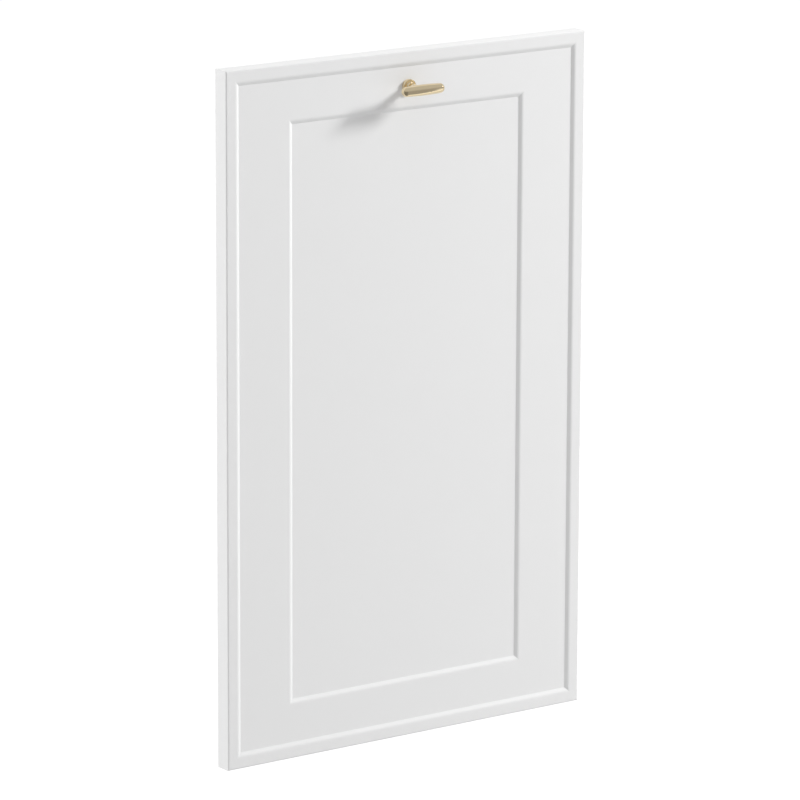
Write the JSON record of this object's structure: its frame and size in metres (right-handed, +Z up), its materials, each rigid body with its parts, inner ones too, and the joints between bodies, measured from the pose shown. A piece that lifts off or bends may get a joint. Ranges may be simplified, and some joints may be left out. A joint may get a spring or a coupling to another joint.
{
  "type": "dishwasher front panel",
  "caption": "White framed front panel with two shallow steps and a brass T-bar knob, screwed to the door of a slimline built-in dishwasher.",
  "frame": {"origin": "centre of the flat rear face, which bears on the appliance's door", "axes": "+Z up, -Y out of the front towards the user, +X to the right seen from the front"},
  "size_m": [0.446, 0.0477, 0.716],
  "materials": {
    "painted_board": "satin white paint sprayed on fibreboard",
    "satin_brass": "satin, pale champagne brass",
    "zinc_plated_steel": "bright zinc plated"
  },
  "bodies": {
    "root": {"front_panel": "painted_board", "knob_stem": "satin_brass", "knob_bar": "satin_brass", "knob_screw": "zinc_plated_steel"}
  },
  "joints": []
}
